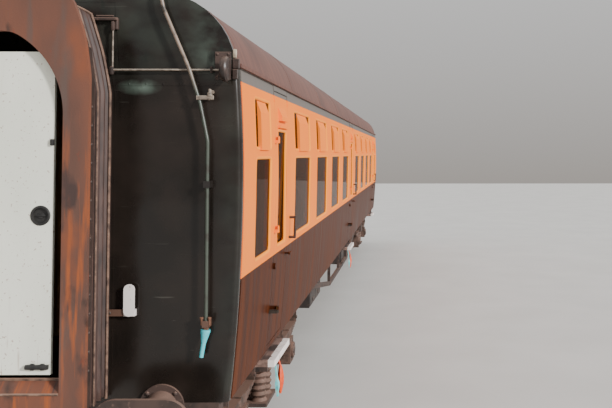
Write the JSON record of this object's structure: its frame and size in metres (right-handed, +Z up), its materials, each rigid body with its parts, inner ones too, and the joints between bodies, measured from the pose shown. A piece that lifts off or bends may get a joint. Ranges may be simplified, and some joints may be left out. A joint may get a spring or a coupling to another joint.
{
  "type": "railway passenger coach",
  "caption": "Main-line open saloon coach in orange and brown, with black ends, gangways with bellows, side doors, hooded top lights and sprung bogies.",
  "frame": {"origin": "middle of the coach at the bottom of the wheel flanges", "axes": "+Z up, Y along the coach with the pictured end at -Y, +X to the pictured side"},
  "size_m": [2.8822, 20.6, 3.9712],
  "materials": {
    "side_paint": "semi-gloss, two colours",
    "lower_paint": "gloss brown",
    "cantrail_paint": "gloss",
    "roof_paint": "weathered matt",
    "end_paint": "gloss black",
    "floor_board": "covered boards",
    "lining": "varnished panels",
    "seat_cloth": "woven upholstery",
    "table_top": "laminate",
    "window_glass": "clear",
    "dark_steel": "worn",
    "gangway_paint": "rust-brown, stained",
    "bellows_cloth": "proofed canvas",
    "collar_paint": "matt",
    "door_white": "off-white, stained",
    "nozzle_blue": "moulded",
    "iron_white": "white",
    "frame_grime": "grimy",
    "step_wood": "worn, white edge",
    "spring_steel": "grimy",
    "wheel_steel": "worn treads",
    "brake_iron": "rusty"
  },
  "bodies": {
    "coach_body": {"alarm_gear": "end_paint", "bottom_rails": "lower_paint", "buffers": "frame_grime", "cantrails": "cantrail_paint", "couplers": "frame_grime", "door_hinges": "dark_steel", "end_far": "end_paint", "end_near": "end_paint", "filler_nozzles": "nozzle_blue", "filler_pipes": "end_paint", "floor": "floor_board", "gangway_bellows_far": "bellows_cloth", "gangway_bellows_near": "bellows_cloth", "gangway_collars": "collar_paint", "gangway_plate_far": "gangway_paint", "gangway_plate_near": "gangway_paint", "grab_handles": "dark_steel", "gutters": "cantrail_paint", "lamp_irons": "iron_white", "partitions": "lining", "roof": "roof_paint", "roof_vents": "roof_paint", "seats": "seat_cloth", "side_panels_left": "side_paint", "side_panels_right": "side_paint", "step_boards": "step_wood", "tables": "table_top", "trusses": "frame_grime", "underfloor_boxes": "frame_grime", "underfloor_cylinders": "frame_grime", "underframe": "frame_grime", "window_cowls": "side_paint", "window_glass": "window_glass"},
    "bogie_far": {"bogie_bolster_far": "frame_grime", "bogie_brakes_far": "brake_iron", "bogie_frame_far": "frame_grime", "bogie_springs_far": "spring_steel"},
    "bogie_near": {"bogie_bolster_near": "frame_grime", "bogie_brakes_near": "brake_iron", "bogie_frame_near": "frame_grime", "bogie_springs_near": "spring_steel"},
    "door_left_centre": {"door_glass_left_centre": "window_glass", "door_left_centre": "side_paint"},
    "door_left_far": {"door_glass_left_far": "window_glass", "door_left_far": "side_paint"},
    "door_left_near": {"door_glass_left_near": "window_glass", "door_left_near": "side_paint"},
    "door_right_centre": {"door_glass_right_centre": "window_glass", "door_right_centre": "side_paint"},
    "door_right_far": {"door_glass_right_far": "window_glass", "door_right_far": "side_paint"},
    "door_right_near": {"door_glass_right_near": "window_glass", "door_right_near": "side_paint"},
    "gangway_door_far": {"gangway_door_far": "door_white"},
    "gangway_door_near": {"gangway_door_near": "door_white"},
    "wheelset_far_inner": {"wheelset_far_inner": "wheel_steel"},
    "wheelset_far_outer": {"wheelset_far_outer": "wheel_steel"},
    "wheelset_near_inner": {"wheelset_near_inner": "wheel_steel"},
    "wheelset_near_outer": {"wheelset_near_outer": "wheel_steel"}
  },
  "joints": [
    {"name": "bogie_near_swivel", "type": "hinge", "parent": "coach_body", "child": "bogie_near", "pos_m": [0, -7.085, 0.95], "axis": [0, 0, 1], "range_deg": [-4, 4]},
    {"name": "wheelset_near_outer_turn", "type": "hinge", "parent": "bogie_near", "child": "wheelset_near_outer", "pos_m": [0, -8.38, 0.485], "axis": [1, 0, 0], "continuous": true},
    {"name": "wheelset_near_inner_turn", "type": "hinge", "parent": "bogie_near", "child": "wheelset_near_inner", "pos_m": [0, -5.79, 0.485], "axis": [1, 0, 0], "continuous": true},
    {"name": "bogie_far_swivel", "type": "hinge", "parent": "coach_body", "child": "bogie_far", "pos_m": [0, 7.085, 0.95], "axis": [0, 0, 1], "range_deg": [-4, 4]},
    {"name": "wheelset_far_outer_turn", "type": "hinge", "parent": "bogie_far", "child": "wheelset_far_outer", "pos_m": [0, 8.38, 0.485], "axis": [1, 0, 0], "continuous": true},
    {"name": "wheelset_far_inner_turn", "type": "hinge", "parent": "bogie_far", "child": "wheelset_far_inner", "pos_m": [0, 5.79, 0.485], "axis": [1, 0, 0], "continuous": true},
    {"name": "door_right_near_hinge", "type": "hinge", "parent": "coach_body", "child": "door_right_near", "pos_m": [1.4, -8.465, 2.13], "axis": [0, 0, -1], "range_deg": [0, 90]},
    {"name": "door_right_centre_hinge", "type": "hinge", "parent": "coach_body", "child": "door_right_centre", "pos_m": [1.4, -0.35, 2.13], "axis": [0, 0, -1], "range_deg": [0, 90]},
    {"name": "door_right_far_hinge", "type": "hinge", "parent": "coach_body", "child": "door_right_far", "pos_m": [1.4, 7.765, 2.13], "axis": [0, 0, -1], "range_deg": [0, 90]},
    {"name": "door_left_near_hinge", "type": "hinge", "parent": "coach_body", "child": "door_left_near", "pos_m": [-1.4, -7.765, 2.13], "axis": [0, 0, -1], "range_deg": [0, 90]},
    {"name": "door_left_centre_hinge", "type": "hinge", "parent": "coach_body", "child": "door_left_centre", "pos_m": [-1.4, 0.35, 2.13], "axis": [0, 0, -1], "range_deg": [0, 90]},
    {"name": "door_left_far_hinge", "type": "hinge", "parent": "coach_body", "child": "door_left_far", "pos_m": [-1.4, 8.465, 2.13], "axis": [0, 0, -1], "range_deg": [0, 90]},
    {"name": "gangway_door_near_hinge", "type": "hinge", "parent": "coach_body", "child": "gangway_door_near", "pos_m": [-0.34, -10.239, 2.39], "axis": [0, 0, 1], "range_deg": [0, 90]},
    {"name": "gangway_door_far_hinge", "type": "hinge", "parent": "coach_body", "child": "gangway_door_far", "pos_m": [0.34, 10.239, 2.39], "axis": [0, 0, 1], "range_deg": [0, 90]}
  ]
}
